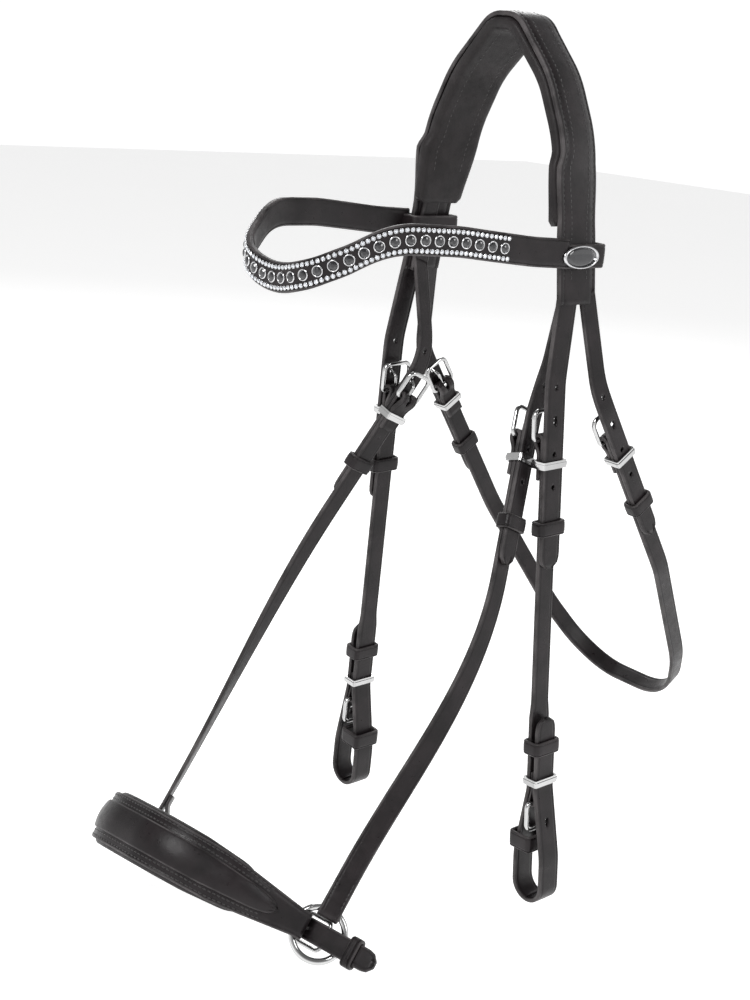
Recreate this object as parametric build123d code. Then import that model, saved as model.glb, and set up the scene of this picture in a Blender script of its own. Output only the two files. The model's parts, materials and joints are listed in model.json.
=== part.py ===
"""Snaffle bridle: leather straps, buckles, keepers and rings, each as its own piece.

The frame is the horse's: +X is the near (left) side, -Y is forwards, +Z is up.
The origin is the underside of the headpiece padding, where it rests on the poll.
Every strap is drawn edge-on as a ribbon, run across its width, and trimmed to its outline.
"""
from build123d import *
import math
import os

# ---- leather stock ----
LEATHER = 2.6            # cheek, noseband and throat straps
THIN = 2.0               # keepers, chapes and folded ring tabs
SEAM = 0.3               # air between leather pieces that lie face to face
RUN = 0.4                # air between a piece that moves and what it moves along
CHEEK_WIDTH = 16.0
SLIM_WIDTH = 13.0        # noseband and throat straps
HEAD_HALF_WIDTH = 19.0   # headpiece over the poll
HEAD_END_HALF_WIDTH = 15.2

# ---- metal ----
WIRE = 1.4               # radius of a buckle's wire
FRAME_HEIGHT = 18.0
TONGUE_BORE = WIRE + 0.05
TONGUE_RADIUS = 1.0
TONGUE_SLOT = 2 * TONGUE_RADIUS + 1.5
RING_RADIUS = 15.2       # noseband ring, centre line
RING_WIRE = 2.0
BAND_WALL = 1.2          # metal keeper
BAND_HEIGHT = 4.6
LOOP_HEIGHT = 9.0        # leather keeper

# ---- one buckle, in its own upright frame: heel bar at the origin, +X away from the head ----
BILLET_X = LEATHER + SEAM            # middle of the billet, outside the lower strap
BAR_X = -(WIRE + SEAM + LEATHER / 2)  # middle of the heel bar, inside the lower strap
FOLD_RADIUS = WIRE + SEAM + LEATHER / 2
CHAPE_LENGTH = 24.0
TIP_LENGTH = 78.0
HOLE_PITCH = 20.0
HOLE_RADIUS = 1.55
TONGUE_HOLE_Z = 12.2
FIRST_HOLE_Z = TONGUE_HOLE_Z - 2 * HOLE_PITCH
BAND_Z = -14.0
LOOP_Z = -53.0

# ---- where the buckles and rings hang ----
CHEEK_BAR = Vector(73.1, -12.3, -230)
BIT_BAR = Vector(88.6, -4.0, -459)
NOSE_BAR = Vector(56.5, -15.8, -232.2)
NOSE_KEEPER = Vector(70.6, -36.0, -278)
THROAT_BAR = Vector(79.5, 36.7, -231.8)
THROAT_SLOPE = 34.0                  # degrees that the throatlatch leans back
NEAR_RING = Vector(86.8, -170.4, -502)
OFF_RING = Vector(-88.0, -175.0, -524)
RIM_RISE = 39.0                      # degrees that the nosepiece rises to the front
BROW_Z = -122.0                      # level of the browband's end loops
HEAD_END_Z = -150.0                  # where the headpiece divides, below the browband

# ---- headpiece: its layers share one arch over the poll ----
ARCH_SIDE = [(71.4, HEAD_END_Z), (57, -56), (40, -22)]
ARCH_TOP = (0, 20.1)
ARCH_RADII = [90, 70, 21, 70, 90]
CROWN = 3.0                          # headpiece leather
CUSHION = 4.4                        # padding under it, and lining of the nosepiece
CUSHION_HALF_WIDTH = HEAD_HALF_WIDTH + 2.5
CUSHION_WAIST = 14.5                 # half width where it is cut away behind the ears
CROWN_JOINT_X = 69.2                 # where the billets leave the headpiece
STRAP_JOINT_X = 65.8
JOINT_RISE = 6.0
CHEEK_JOINT_Y = -7.2
THROAT_JOINT_Y = 8.7
HEADSTRAP_Y = -4.0                   # the noseband strap runs a little forward of the middle

# ---- browband: a U in plan, half drawn here, with a loop at each end ----
BROW_HALF = [(70.6, -14), (68.4, -70), (58, -128), (34, -166)]
BROW_RADII = [120, 90, 34, 34, 90, 120]
BROW_SIDE = [(20, BROW_Z), (-40, BROW_Z + 3), (-92, BROW_Z + 8.5), (-132, BROW_Z + 9.5), (-175, BROW_Z - 20)]
BROW_SIDE_RADII = [200, 120, 40]
BROW_FRONT_HALF = [(60, BROW_Z + 7), (30, BROW_Z - 12.5)]
BROW_FRONT_RADII = [40, 60, 40]
BROW_DIP_Z = BROW_Z - 21.5           # the lowest point, at the forehead
BROW_TURN_Y = -152.0                 # forward of this the band is drawn from the front
BROW_THICKNESS = 4.0
BROW_HEIGHT = 17.0
LOOP_X = 64.5                        # middle of the end loop
LOOP_DEPTH = 11.0
LOOP_TALL = 14.0
LOOP_WALL = 2.4
BADGE_Y = -4.2                       # the badge sits a little forward on its loop
BADGE_LONG = 14.5
BADGE_TALL = 6.8
BADGE_LIFT = 0.6
STONE_PITCH = 8.6
STONE_COUNT = 35
STONE_RADIUS = 3.3
STONE_RISE = 2.0
CHAIN_OFFSET = 6.3                   # of each cup chain from the middle line
CHAIN_WIDTH = 2.6
CHAIN_RISE = 1.6

# ---- bit ends of the cheekpieces, in the cheek's frame ----
SKIVED = 1.3                         # leather thinned down for the chape
BIT_OUT = 2 * SKIVED + LEATHER + 0.6  # middle of the outer layer
BIT_BAR_X = 2.75
BIT_INNER = -9.5                     # middle of the loop's inner and outer runs
BIT_OUTER = 13.0
BIT_BEND = 9.0
BIT_TAIL = 56.0                      # how far the tip stands above the heel bar
BIT_LOOP_DROP = 66.7                 # how far the loop hangs below the heel bar
BIT_LOOP_RADIUS = 11.2
BIT_TONGUE_REACH = 3.6

# ---- noseband ----
RING_IN = Vector(-0.68, -0.733).normalized()  # from the near ring's middle along the nosepiece
NOSE_CURVE = [(66, -50), (30, -88)]
NOSE_RADII = [60, 46]
PANEL = 1.8                          # raised centre panel of the nosepiece
CHIN_WIRE_Z = -12.0                  # from the chin buckle's heel bar to the ring
CHIN_TOWARD = Vector(0.955, 0.297).normalized()
CHIN_CORNER_X = 20.0
CHIN_TIP = 26.0
CHIN_FOLD = RING_WIRE + 0.8          # room for the ring in the chin strap's fold

FAR = 400.0                          # longer than anything here
BASE = (Align.CENTER, Align.CENTER, Align.MIN)  # a cone that stands on its seat


# ---------------------------------------------------------------- helpers
def rounded_path(points, radii, shift=0.0):
    """Straight runs joined by tangent arcs, the whole path moved to its left by shift."""
    spots = [Vector(*p) for p in points]
    runs = [(b - a).normalized() for a, b in zip(spots, spots[1:])]
    left = [Vector(-d.Y, d.X) for d in runs]
    edges = []
    here = spots[0]
    for i, radius in enumerate(radii):
        corner = spots[i + 1]
        turn = math.copysign(1, runs[i].X * runs[i + 1].Y - runs[i].Y * runs[i + 1].X)
        angle = math.acos(max(-1.0, min(1.0, runs[i].dot(runs[i + 1]))))
        reach = radius * math.tan(angle / 2)
        start = corner - runs[i] * reach
        end = corner + runs[i + 1] * reach
        center = start + left[i] * (turn * radius)
        middle = center + (corner - center).normalized() * (radius - turn * shift)
        if (start - here).dot(runs[i]) < -1e-6 or radius - turn * shift <= 0:
            raise ValueError(f"corner {i + 1} at {corner} does not fit radius {radius}")
        if (start - here).length > 1e-4:
            edges.append(Line(here + left[i] * shift, start + left[i] * shift))
        edges.append(ThreePointArc(start + left[i] * shift, middle, end + left[i + 1] * shift))
        here = end
    edges.append(Line(here + left[-1] * shift, spots[-1] + left[-1] * shift))
    return edges


def closed_face(first, second):
    """The face between two paths that run the same way."""
    ends = [Line(first[0] @ 0, second[0] @ 0), Line(first[-1] @ 1, second[-1] @ 1)]
    return make_face(Curve() + first + second + ends)


def ribbon(points, radii, thickness):
    """The edge view of a strap: a band of one thickness along a path."""
    return closed_face(rounded_path(points, radii, thickness / 2),
                       rounded_path(points, radii, -thickness / 2))


def strap(points, radii, thickness, outline):
    """A strap from its edge view in XZ and its outline in YZ."""
    body = extrude(Plane.XZ * ribbon(points, radii, thickness), amount=FAR / 4, both=True)
    return trimmed(body, outline)


def lane(points, radii, width):
    """A strap's outline of constant width along its middle line in YZ."""
    return ribbon(points, radii, width)


def upright(bar, below):
    """The frame of a buckle: heel bar at the origin, +Z up the strap, +X outwards."""
    up = (bar - below).normalized()
    outward = Vector(1, 0, 0) - up * up.X
    return Plane(origin=bar, x_dir=outward, z_dir=up)


def place(plane, shape):
    """A shape drawn in a local frame, put where that frame stands."""
    return plane.location * shape


def off_side(shape):
    """The same piece on the horse's off side."""
    return mirror(shape, about=Plane.YZ)


def tip_cutter(width, tip_z, pointing, x_low, x_high):
    """What is cut away to leave a strap end with a blunt point."""
    length = width * 0.55
    block = Rectangle(width + 4, 2 * length)
    nose = Polygon((-width / 2, -length * pointing), (width / 2, -length * pointing),
                   (width / 2, 0), (width * 0.18, length * pointing),
                   (-width * 0.18, length * pointing), (-width / 2, 0), align=None)
    shape = Pos(0, tip_z - length * pointing) * (Pos(0, length * pointing) * block - nose)
    return Pos(x_low, 0, 0) * extrude(Plane.YZ * shape, amount=x_high - x_low)


def holes(x_middle):
    """The spare holes punched through a billet, two below its tongue hole and one above it."""
    return [Pos(x_middle, 0, FIRST_HOLE_Z + i * HOLE_PITCH) * Rot(0, 90, 0) * Cylinder(HOLE_RADIUS, 12)
            for i in (0, 1, 3)]


def tongue_hole(x, z, depth=9.0):
    """The oblong hole in a billet that a tongue comes through."""
    return Pos(x, 0, z) * Box(depth, TONGUE_SLOT, 6.4)


def trimmed(shape, outline):
    """An edge-view solid cut to its outline in YZ."""
    return shape & extrude(Plane.YZ * outline, amount=FAR, both=True)


# ---------------------------------------------------------------- buckle sets
def buckle_frame(width):
    """A rounded wire frame, its heel bar at the bottom."""
    half = width / 2 + 1.0 + WIRE
    corners = [(0, 0), (half, 0), (half, FRAME_HEIGHT), (-half, FRAME_HEIGHT), (-half, 0), (0, 0)]
    path = Plane.YZ * (Curve() + rounded_path(corners, [3.0, 4.5, 4.5, 3.0]))
    section = Plane(origin=path @ 0, z_dir=path % 0) * Circle(WIRE)
    return Pos(BAR_X, 0, 0) * sweep(section, path=path)


def buckle_tongue(reach_x):
    """A bent tongue: an eye round the heel bar, a shank, and a tip turned out into the billet."""
    eye_radius = TONGUE_BORE + 1.1
    eye = Rot(90, 0, 0) * Cylinder(eye_radius, 2 * TONGUE_RADIUS + 0.6)
    bend = [(0, TONGUE_BORE + 0.4), (0.4, TONGUE_HOLE_Z - 3.2), (reach_x - BAR_X, TONGUE_HOLE_Z + 0.4)]
    path = Plane.XZ * (Curve() + rounded_path(bend, [2.4]))
    shank = sweep(Plane(origin=path @ 0, z_dir=path % 0) * Circle(TONGUE_RADIUS), path=path)
    bore = Rot(90, 0, 0) * Cylinder(TONGUE_BORE, 8)
    return Pos(BAR_X, 0, 0) * (eye + shank - bore)


def band(width, x_low, x_high, wall, height, z, air=RUN):
    """A keeper round the straps between x_low and x_high."""
    inner_x = x_high - x_low + 2 * air
    inner_y = width + 2 * air
    outer = RectangleRounded(inner_x + 2 * wall, inner_y + 2 * wall, wall)
    middle = (x_low + x_high) / 2
    return Pos(middle, 0, z - height / 2) * extrude(outer - Rectangle(inner_x, inner_y), amount=height)


def metal_band(width, x_low, x_high, z):
    """A flat metal keeper with a raised rib round its middle."""
    plain = band(width, x_low, x_high, BAND_WALL, BAND_HEIGHT, z)
    rib = band(width, x_low, x_high, BAND_WALL + 0.4, BAND_HEIGHT * 0.4, z)
    return plain + rib


def leather_loop(width, x_low, x_high, z):
    """A leather keeper."""
    return band(width, x_low, x_high, THIN, LOOP_HEIGHT, z)


def tongue_slot():
    """The slot in a folded strap end that the tongue works in."""
    return Pos(BAR_X, 0, 1.2) * Box(2 * FOLD_RADIUS + 9, TONGUE_SLOT, 9.4)


def fold_points():
    """A strap end folded inwards round the heel bar, from its short end to the outer run."""
    under = BAR_X - FOLD_RADIUS
    near_miss = -(LEATHER + SEAM)
    return [(near_miss, -CHAPE_LENGTH), (near_miss, -8), (under, -1.5),
            (under, FOLD_RADIUS), (0, FOLD_RADIUS)], [8, 6, FOLD_RADIUS - 0.05, FOLD_RADIUS - 0.05]


# ---------------------------------------------------------------- headpiece
def arch(inset, thickness):
    """The edge view of a layer over the poll, inset from the outer face."""
    points = [(-x, z) for x, z in ARCH_SIDE] + [ARCH_TOP] + ARCH_SIDE[::-1]
    return Plane.XZ * closed_face(rounded_path(points, ARCH_RADII, -inset),
                                  rounded_path(points, ARCH_RADII, -(inset + thickness)))


def head_outline():
    """The headpiece seen from the side: broad over the poll, drawn in at the browband."""
    top = 30.0
    return Polygon((-HEAD_HALF_WIDTH, top), (HEAD_HALF_WIDTH, top), (HEAD_HALF_WIDTH, -70),
                   (HEAD_END_HALF_WIDTH, -108), (HEAD_END_HALF_WIDTH, HEAD_END_Z),
                   (-HEAD_END_HALF_WIDTH, HEAD_END_Z), (-HEAD_END_HALF_WIDTH, -108),
                   (-HEAD_HALF_WIDTH, -70), align=None)


def billet(plane, width, joint):
    """A billet in its buckle's frame, from its tip up to a point on the headpiece."""
    top = plane.to_local_coords(joint)
    bend_z = 26.0
    points = [(BILLET_X, -TIP_LENGTH), (BILLET_X, bend_z), (top.X, top.Z)]
    middle = [(0, -TIP_LENGTH), (0, bend_z + 8), (top.Y, top.Z)]
    body = strap(points, [60], LEATHER, lane(middle, [60], width))
    body -= tip_cutter(width, -TIP_LENGTH, -1, BILLET_X - 3, BILLET_X + 3)
    for hole in holes(BILLET_X):
        body -= hole
    return place(plane, body - tongue_hole(BILLET_X, TONGUE_HOLE_Z))


CHEEK = upright(CHEEK_BAR, BIT_BAR)
NOSE = upright(NOSE_BAR, NOSE_KEEPER)
THROAT_DOWN = Vector(0, math.sin(math.radians(THROAT_SLOPE)), -math.cos(math.radians(THROAT_SLOPE)))
THROAT = upright(THROAT_BAR, THROAT_BAR + THROAT_DOWN)


def headpiece():
    """The crown strap, which divides at each side into a cheek billet and a throat billet."""
    crown = trimmed(extrude(arch(0, CROWN), amount=60, both=True), head_outline())
    cheek_joint = Vector(CROWN_JOINT_X, CHEEK_JOINT_Y, HEAD_END_Z + JOINT_RISE)
    throat_joint = Vector(CROWN_JOINT_X, THROAT_JOINT_Y, HEAD_END_Z + JOINT_RISE)
    cheek = billet(CHEEK, CHEEK_WIDTH, cheek_joint)
    throat = billet(THROAT, SLIM_WIDTH, throat_joint)
    both = cheek + throat
    return crown + both + off_side(both)


def noseband_headstrap():
    """The slim strap that runs under the headpiece and ends in the two noseband billets."""
    crown = extrude(arch(CROWN + SEAM, LEATHER), amount=SLIM_WIDTH / 2, both=True)
    side = billet(NOSE, SLIM_WIDTH, Vector(STRAP_JOINT_X, HEADSTRAP_Y, HEAD_END_Z + JOINT_RISE))
    return Pos(0, HEADSTRAP_Y, 0) * crown + side + off_side(side)


def head_padding():
    """The cushion under the headpiece, cut away behind the ears."""
    shape = extrude(arch(CROWN + LEATHER + 2 * SEAM, CUSHION), amount=60, both=True)
    wide = CUSHION_HALF_WIDTH
    half = [(wide, 30), (wide, -18), (CUSHION_WAIST, -34), (CUSHION_WAIST, -62),
            (wide - 3, -78), (wide - 4, -104)]
    other = [(-y, z) for y, z in half]
    radii = [8, 12, 12, 12]
    return trimmed(shape, closed_face(rounded_path(half, radii), rounded_path(other, radii)))


# ---------------------------------------------------------------- browband
def browband():
    """The browband: a U in plan that dips to the forehead, with a loop at each end."""
    body = extrude(Pos(0, 0, -200) * ribbon(brow_plan(), BROW_RADII, BROW_THICKNESS), amount=150)
    body = brow_trimmed(body, 0, BROW_HEIGHT)
    for side in (1, -1):
        body += Pos(side * LOOP_X, 0, BROW_Z - LOOP_TALL / 2) * loop_ring(LOOP_TALL)
    return body


def loop_ring(height):
    """The browband's end loop round the headpiece and the noseband strap."""
    inner_y = 2 * HEAD_END_HALF_WIDTH + 2.6
    inner = Rectangle(LOOP_DEPTH, inner_y)
    outer = RectangleRounded(LOOP_DEPTH + 2 * LOOP_WALL, inner_y + 2 * LOOP_WALL, LOOP_WALL)
    return extrude(outer - inner, amount=height)


# ---------------------------------------------------------------- browband trim
def brow_lines():
    """The browband's middle line, seen from the side and, round the forehead, from the front."""
    front = BROW_FRONT_HALF + [(0, BROW_DIP_Z)] + [(-x, z) for x, z in reversed(BROW_FRONT_HALF)]
    return (BROW_SIDE, BROW_SIDE_RADII), (front, BROW_FRONT_RADII)


def brow_trimmed(body, offset, height):
    """A band round the brow cut to a height, its middle line moved up by offset."""
    side, front = [ribbon([(a, z + offset) for a, z in points], radii, height)
                   for points, radii in brow_lines()]
    half_space = Box(FAR, FAR, FAR)
    behind = body & Pos(0, BROW_TURN_Y + FAR / 2, 0) * half_space
    ahead = body & Pos(0, BROW_TURN_Y - FAR / 2, 0) * half_space
    return trimmed(behind, side) + (ahead & extrude(Plane.XZ * front, amount=FAR, both=True))


def brow_plan():
    """The browband's U seen from above."""
    return BROW_HALF + [(-x, y) for x, y in reversed(BROW_HALF)]


def browband_spot(distance):
    """A point on the browband's outer face, and the way it faces, at a distance from the front."""
    line = Wire(rounded_path(brow_plan(), BROW_RADII))
    part = 0.5 + distance / line.length
    spot = line @ part
    along = line % part
    outward = Vector(along.Y, -along.X)
    if outward.dot(Vector(spot.X, spot.Y + 60)) < 0:
        outward = outward * -1
    side, front = brow_lines()
    points, radii = side if spot.Y > BROW_TURN_Y else front
    goal = spot.Y if spot.Y > BROW_TURN_Y else spot.X
    view = Wire(rounded_path(points, radii))
    low, high = 0.0, 1.0
    for _ in range(40):
        middle = (low + high) / 2
        if (view @ middle).X > goal:
            low = middle
        else:
            high = middle
    height = (view @ low).Y
    return Vector(spot.X, spot.Y, height) + outward * (BROW_THICKNESS / 2), outward


def browband_stones():
    """Round black stones in a row along the middle of the browband, each a separate solid."""
    stones = []
    for i in range(STONE_COUNT):
        spot, outward = browband_spot((i - (STONE_COUNT - 1) / 2) * STONE_PITCH)
        seat = Plane(origin=spot + outward * 0.1, z_dir=outward)
        stones.append(place(seat, Cone(STONE_RADIUS, STONE_RADIUS * 0.7, STONE_RISE, align=BASE)))
    return Compound(children=stones)


def browband_chains():
    """The two cup chains of small crystals above and below the stones."""
    low = BROW_THICKNESS / 2 + 0.1
    face = closed_face(rounded_path(brow_plan(), BROW_RADII, -low),
                       rounded_path(brow_plan(), BROW_RADII, -(low + CHAIN_RISE)))
    band_body = extrude(Pos(0, 0, -200) * face, amount=150)
    band_body &= Pos(0, -150, -100) * Box(FAR, 208, 200)
    rows = []
    for offset in (CHAIN_OFFSET, -CHAIN_OFFSET):
        rows.append(brow_trimmed(band_body, offset, CHAIN_WIDTH))
    return Compound(children=[solid for row in rows for solid in row.solids()])


def loop_badge():
    """A plain oval badge on the near browband loop: a rim round a sunk plate."""
    face_x = LOOP_X + LOOP_DEPTH / 2 + LOOP_WALL
    seat = Plane(origin=(face_x + BADGE_LIFT, BADGE_Y, BROW_Z), x_dir=(0, 1, 0), z_dir=(1, 0, 0))
    plate = extrude(Ellipse(BADGE_LONG - 0.5, BADGE_TALL - 0.5), amount=1.0)
    rim = extrude(Ellipse(BADGE_LONG, BADGE_TALL) - Ellipse(BADGE_LONG - 1.3, BADGE_TALL - 1.3), amount=1.8)
    return place(seat, plate + rim)


# ---------------------------------------------------------------- cheekpieces
CHEEK_BIT_Z = CHEEK.to_local_coords(BIT_BAR).Z  # height of the bit-end heel bar


def cheek_strap():
    """The cheekpiece: folded round the top buckle, down, round the bit, and up to its tip."""
    bar = CHEEK_BIT_Z
    start, radii = fold_points()
    bottom = bar - BIT_LOOP_DROP
    points = start + [(0, bar + BIT_BEND), (BIT_INNER, bar - 36), (BIT_INNER, bottom),
                      (BIT_OUTER, bottom), (BIT_OUTER, bar - 36), (BIT_OUT, bar + BIT_BEND),
                      (BIT_OUT, bar + BIT_TAIL)]
    radii = radii + [20, 60, BIT_LOOP_RADIUS, BIT_LOOP_RADIUS, 60, 20]
    waist = 6.8
    wide = CHEEK_WIDTH / 2
    outline = Polygon((-waist, 20), (waist, 20), (waist, bar + 64), (wide, bar + 58),
                      (wide, bar - 90), (-wide, bar - 90), (-wide, bar + 58), (-waist, bar + 64),
                      align=None)
    body = strap(points, radii, LEATHER, outline)
    body -= tip_cutter(CHEEK_WIDTH, bar + BIT_TAIL, 1, BIT_OUT - 2, BIT_OUT + 2)
    body -= tongue_slot()
    return place(CHEEK, body - tongue_hole(10, bar - TONGUE_HOLE_Z, depth=16))


def bit_plane():
    """The frame of a bit-end buckle: like a top buckle, but hanging down."""
    local = Plane(origin=(BIT_BAR_X - BAR_X, 0, CHEEK_BIT_Z), x_dir=(1, 0, 0), z_dir=(0, 0, -1))
    return Plane(CHEEK.location * local.location)


def bit_chape():
    """The skived chape that holds the bit-end buckle between the layers of the cheekpiece."""
    bar = CHEEK_BIT_Z
    reach = WIRE + 0.2 + SKIVED / 2
    low = BIT_BAR_X - reach
    high = BIT_BAR_X + reach
    inner = BIT_BAR_X - SKIVED / 2 - 0.1
    outer = BIT_BAR_X + SKIVED / 2 + 0.1
    points = [(inner, bar + 20), (inner, bar + 7.5), (low, bar + 1.5), (low, bar - reach),
              (high, bar - reach), (high, bar + 1.5), (outer, bar + 7.5), (outer, bar + 20)]
    body = strap(points, [5, 5, reach - 0.05, reach - 0.05, 5, 5], SKIVED,
                 Pos(0, bar) * Rectangle(13.6, 60))
    slot = Pos(BIT_BAR_X, 0, bar - 1.2) * Box(12, TONGUE_SLOT, 9.4)
    return place(CHEEK, body - slot)


def bit_runner():
    """The empty leather keeper on the inner layer of the bit loop."""
    return place(CHEEK, band(CHEEK_WIDTH, -10.6, 2.6, THIN, 11.0, CHEEK_BIT_Z - 28))


# ---------------------------------------------------------------- throatlatch
def throatlatch():
    """The throatlatch: one strap from buckle to buckle, in a plane that leans back."""
    start, radii = fold_points()
    middle_x = -THROAT_BAR.X
    points = start + [(0, -110), (-17, -205), (-33, -241), (middle_x + 22.5, -259), (middle_x, -259)]
    radii = radii + [90, 100, 60, 38]
    outline = Pos(0, -150) * Rectangle(SLIM_WIDTH, 400)
    half = strap(points, radii, LEATHER, outline) - tongue_slot()
    near = place(THROAT, half)
    return near + off_side(near)


# ---------------------------------------------------------------- noseband
def rim_plane():
    """The plane of the noseband: +X to the near ring, -Y forwards and up, +Z away from the nose."""
    across = (NEAR_RING - OFF_RING).normalized()
    rise = math.radians(RIM_RISE)
    normal = Vector(0, math.sin(rise), math.cos(rise))
    normal = (normal - across * normal.dot(across)).normalized()
    return Plane(origin=(NEAR_RING + OFF_RING) / 2, x_dir=across, z_dir=normal)


RIM = rim_plane()
RING_X = (NEAR_RING - OFF_RING).length / 2
RING_FACE = Vector(-RING_IN.Y, RING_IN.X)        # the way the near ring faces


def ring():
    """A noseband ring in the rim plane's frame."""
    seat = Plane(origin=(RING_X, 0, 0), x_dir=(0, 0, 1), z_dir=(RING_FACE.X, RING_FACE.Y, 0))
    return place(seat, Torus(RING_RADIUS, RING_WIRE))


def wrap(pin, along, face, pin_radius, sag, thickness, tail):
    """A strap end folded round a pin: its points from the hidden end to the outer run."""
    reach = pin_radius + RUN + thickness / 2
    lap = reach - thickness - SEAM
    points = [pin + along * tail + face * lap, pin + along * (reach + 8) + face * lap,
              pin + along * 3.2 - face * reach, pin - along * (reach + sag) - face * reach,
              pin - along * (reach + sag) + face * reach]
    return [(p.X, p.Y) for p in points], [8, 8, reach - 0.4, reach - 0.4]


def nose_points():
    """The nosepiece's fold round the near ring, seen square to the rim plane."""
    pin = Vector(RING_X, 0) + RING_IN * RING_RADIUS
    return wrap(pin, RING_IN, RING_FACE, RING_WIRE, 2.4, LEATHER, 24)


def nose_path():
    """The whole run of the nosepiece, fold to fold."""
    start, radii = nose_points()
    half = start + NOSE_CURVE
    points = half + [(-x, y) for x, y in reversed(half)]
    inner = radii + NOSE_RADII
    return points, inner + inner[::-1]


def nose_layer(shift, thickness, outline):
    """A layer of the nosepiece, between its folds, moved out from the strap's middle by shift."""
    half = [nose_points()[0][-1]] + NOSE_CURVE
    points = half + [(-x, y) for x, y in reversed(half)]
    radii = NOSE_RADII + NOSE_RADII[::-1]
    face = closed_face(rounded_path(points, radii, -shift),
                       rounded_path(points, radii, -(shift + thickness)))
    return trimmed(extrude(face, amount=40, both=True), outline)


def nose_outline(ring_half, front_half, start_y):
    """The nosepiece's width, growing from the rings to the front."""
    return Polygon((20 + start_y, ring_half), (start_y, ring_half), (start_y - 46, front_half - 1),
                   (-110, front_half), (-110, -front_half), (start_y - 46, 1 - front_half),
                   (start_y, -ring_half), (20 + start_y, -ring_half), align=None)


def nosepiece():
    """The outer leather of the nosepiece, folded round both rings."""
    points, radii = nose_path()
    body = extrude(ribbon(points, radii, LEATHER), amount=40, both=True)
    return place(RIM, trimmed(body, nose_outline(8.2, 15.5, -14)))


def nosepiece_panel():
    """The raised centre panel sewn on the outside of the nosepiece."""
    trim = Pos(-70, 0) * Rectangle(80, 60)
    return place(RIM, nose_layer(LEATHER / 2 + 0.1, PANEL, nose_outline(4.5, 9.5, -22) & trim))


def nosepiece_padding():
    """The padded lining on the inside of the nosepiece."""
    trim = Pos(-82, 0) * Rectangle(80, 60)
    shift = -(LEATHER / 2 + SEAM + CUSHION)
    return place(RIM, nose_layer(shift, CUSHION, nose_outline(11.5, 17.5, -22) & trim))


def nosepiece_rivets():
    """The two small rivets by each ring that close the nosepiece's folds."""
    pin = Vector(RING_X, 0) + RING_IN * (RING_RADIUS + 18)
    pin += RING_FACE * (RING_WIRE + RUN + LEATHER + 0.1)
    rivets = []
    for height in (-4.2, 4.2):
        seat = Plane(origin=(pin.X, pin.Y, height), z_dir=(RING_FACE.X, RING_FACE.Y, 0))
        rivets.append(place(seat, Cone(1.6, 1.0, 0.8, align=BASE)))
    both = rivets + [mirror(rivet, about=Plane.YZ) for rivet in rivets]
    return place(RIM, Compound(children=both))


def ring_tab():
    """The end of the near noseband strap, folded round the top of the ring."""
    reach = RING_WIRE + RUN + THIN / 2
    sag = 1.5
    points = [(reach - THIN - SEAM, 17), (reach - THIN - SEAM, reach + 7), (-reach, 2),
              (-reach, -(reach + sag)), (reach, -(reach + sag)), (reach, 17)]
    fold = extrude(Plane.XZ * ribbon(points, [8, 8, reach - 0.05, reach - 0.05], THIN),
                   amount=SLIM_WIDTH / 2, both=True)
    seat = Plane(origin=(RING_X, 0, RING_RADIUS), x_dir=(RING_FACE.X, RING_FACE.Y, 0), z_dir=(0, 0, 1))
    return place(seat, fold)


def noseband_strap(tab):
    """A noseband cheek strap, drawn on the near side, from its buckle to a ring tab."""
    end = NOSE.to_local_coords(tab.center() + Vector(0, 0, 4))
    start, radii = fold_points()
    points = start + [(0, -90), (end.X, end.Z)]
    middle = [(0, 20), (0, -102), (end.Y, end.Z)]
    body = strap(points, radii + [200], LEATHER, lane(middle, [260], SLIM_WIDTH))
    return place(NOSE, body - tongue_slot()) + tab


# ---------------------------------------------------------------- chin strap
def chin_plane():
    """The frame of the chin buckle: heel bar inside the near ring, the strap running outwards."""
    pin = Vector(RING_X, 0) - RING_IN * RING_RADIUS
    outward = Vector(CHIN_TOWARD.Y, -CHIN_TOWARD.X)
    bar = pin + CHIN_TOWARD * CHIN_WIRE_Z - outward * BAR_X
    return Plane(origin=(bar.X, bar.Y, 0), x_dir=(outward.X, outward.Y, 0), z_dir=CHIN_TOWARD * -1)


CHIN = chin_plane()


def chin_strap():
    """The chin strap: folded round the off ring, behind the nosepiece, out to its tip."""
    pin = Vector(-RING_X, 0) + Vector(RING_IN.X, -RING_IN.Y) * RING_RADIUS
    tip = CHIN.from_local_coords(Vector(BILLET_X, 0, CHIN_WIRE_Z - CHIN_TIP))
    slope = CHIN.z_dir.Y / CHIN.z_dir.X
    corner = Vector(CHIN_CORNER_X, tip.Y + (CHIN_CORNER_X - tip.X) * slope)
    reach = CHIN_FOLD + RUN + LEATHER / 2
    lean = math.degrees(math.asin(reach / (corner - pin).length))
    along = (corner - pin).normalized().rotate(Axis.Z, lean)
    face = Vector(along.Y, -along.X)
    start, radii = wrap(pin, along, face, CHIN_FOLD, 0.4, LEATHER, 24)
    points = start + [(corner.X, corner.Y), (tip.X, tip.Y)]
    body = extrude(ribbon(points, radii + [90], LEATHER), amount=SLIM_WIDTH / 2, both=True)
    cutter = tip_cutter(SLIM_WIDTH, CHIN_WIRE_Z - CHIN_TIP, -1, BILLET_X - 3, BILLET_X + 3)
    hole = tongue_hole(BILLET_X, TONGUE_HOLE_Z)
    return place(RIM, body - place(CHIN, cutter) - place(CHIN, hole))


def chin_chape():
    """A closed leather loop that ties the chin buckle's heel bar to the near ring."""
    inner_radius = RING_WIRE + RUN + 0.15
    length = -CHIN_WIRE_Z
    outer = SlotCenterToCenter(length, 2 * (inner_radius + THIN - 0.2))
    inner = SlotCenterToCenter(length, 2 * inner_radius)
    face = Pos(BAR_X, -length / 2) * Rot(0, 0, 90) * (outer - inner)
    body = extrude(Plane.XZ * face, amount=4.6, both=True)
    slot = Pos(BAR_X, 0, 2.4) * Box(14, TONGUE_SLOT, 9.4)
    return place(RIM, place(CHIN, body - slot))


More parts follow.
